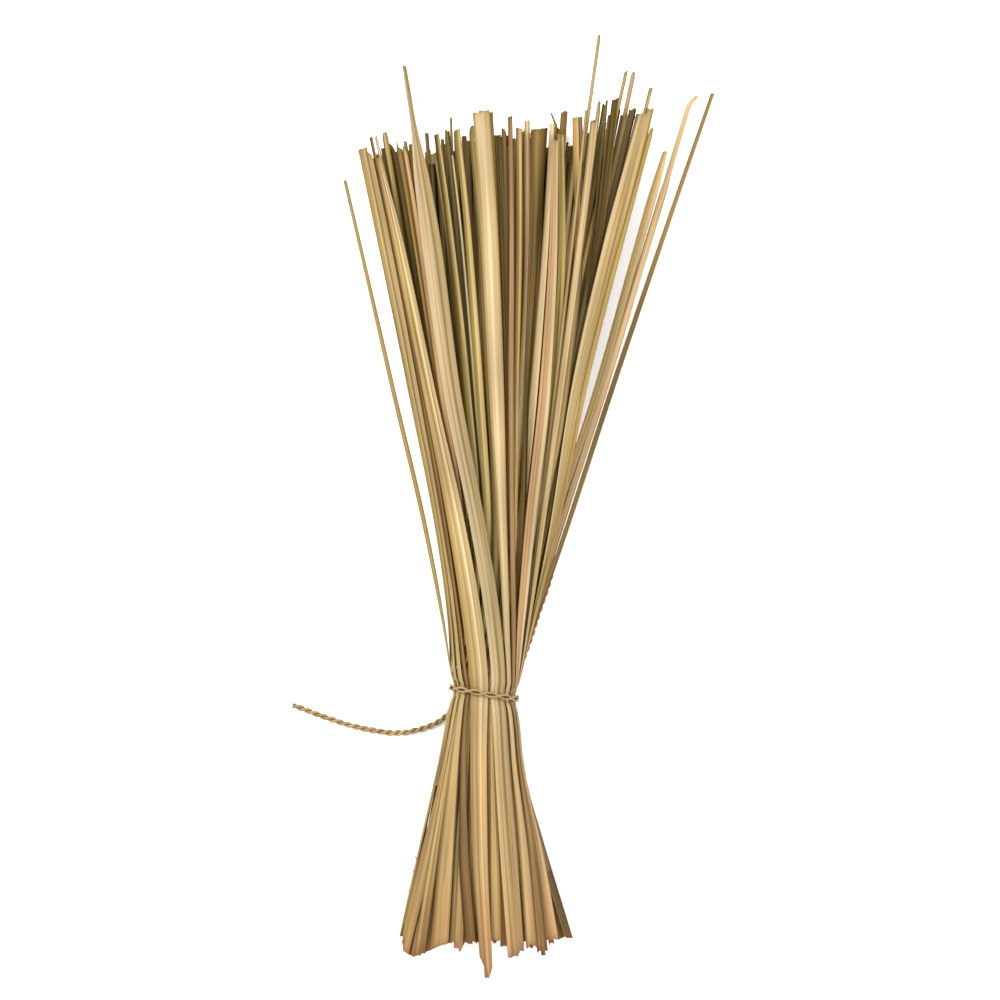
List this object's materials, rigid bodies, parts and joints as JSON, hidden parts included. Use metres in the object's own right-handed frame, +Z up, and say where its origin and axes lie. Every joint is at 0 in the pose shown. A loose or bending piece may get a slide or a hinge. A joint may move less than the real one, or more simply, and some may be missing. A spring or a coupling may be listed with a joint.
{
  "type": "bunch of dried grass",
  "caption": "Bunch of long flat blades of dried grass, spread at both ends and tied round the waist with a twisted straw cord, lying on its side.",
  "frame": {"origin": "on the surface that the bunch lies on, at the middle of the footprint of the bunch without its cord's free ends", "axes": "+Y from the tie to the tips, +Z up from the surface, +X to the right when looking down on the bunch with its tips away"},
  "size_m": [0.2764, 0.612, 0.0857],
  "materials": {
    "straw_pale": "pale dry grass leaf, satin, fine lengthwise veins",
    "straw_tan": "tan dry grass leaf, satin, fine lengthwise veins",
    "straw_gold": "golden brown dry grass leaf, satin, fine lengthwise veins",
    "straw_peach": "peach-coloured dry grass leaf, satin, fine lengthwise veins",
    "straw_olive": "greyed olive dry grass leaf, satin, fine lengthwise veins",
    "straw_brown": "dark brown dry grass leaf, satin, fine lengthwise veins",
    "straw_cord": "two-ply twisted straw cord, fibrous"
  },
  "bodies": {
    "root": {"blade_left_stray": "straw_tan", "blade_left_gold_edge": "straw_gold", "blade_left_tan": "straw_tan", "blade_left_reddish": "straw_brown", "blade_bright_ridge": "straw_pale", "blade_long_light": "straw_pale", "blade_bright_centre": "straw_pale", "blade_reddish_mid": "straw_brown", "blade_peach": "straw_peach", "blade_right_strip": "straw_tan", "blade_right_broad_gold": "straw_gold", "blade_right_cut": "straw_gold", "blade_right_pale_stray": "straw_peach", "blade_right_gold_stray": "straw_gold", "blade_olive_left": "straw_olive", "blade_reddish_thin": "straw_brown", "blade_olive_mid": "straw_olive", "blade_tan_mid": "straw_tan", "blade_olive_bent": "straw_olive", "blade_dark_centre": "straw_brown", "blade_tan_centre": "straw_tan", "blade_wide_brown": "straw_brown", "blade_tan_olive": "straw_olive", "blade_orange_brown": "straw_gold", "blade_right_brown": "straw_brown", "blade_brown_curl": "straw_brown", "blade_pointed_light": "straw_pale", "blade_dark_olive": "straw_olive", "blade_grey_tan": "straw_tan", "blade_tan_brown": "straw_tan", "blade_golden": "straw_gold", "blade_pale_strip": "straw_pale", "blade_long_stray": "straw_tan", "blade_stray_up_gold": "straw_gold", "blade_stray_up_tan": "straw_peach", "blade_under_01": "straw_gold", "blade_under_02": "straw_olive", "blade_under_03": "straw_brown", "blade_under_04": "straw_tan", "blade_under_05": "straw_pale", "blade_under_06": "straw_gold", "blade_under_07": "straw_olive", "blade_under_08": "straw_brown", "blade_under_09": "straw_tan", "blade_under_10": "straw_pale", "blade_under_second_01": "straw_tan", "blade_under_second_02": "straw_pale", "blade_under_second_03": "straw_gold", "blade_under_second_04": "straw_olive", "blade_under_second_05": "straw_brown", "blade_under_second_06": "straw_tan", "blade_under_second_07": "straw_pale", "inner_grass": "straw_olive", "tie_ring": "straw_cord", "tie_knot": "straw_cord", "cord_tail_left": "straw_cord", "cord_tail_right": "straw_cord"}
  },
  "joints": []
}
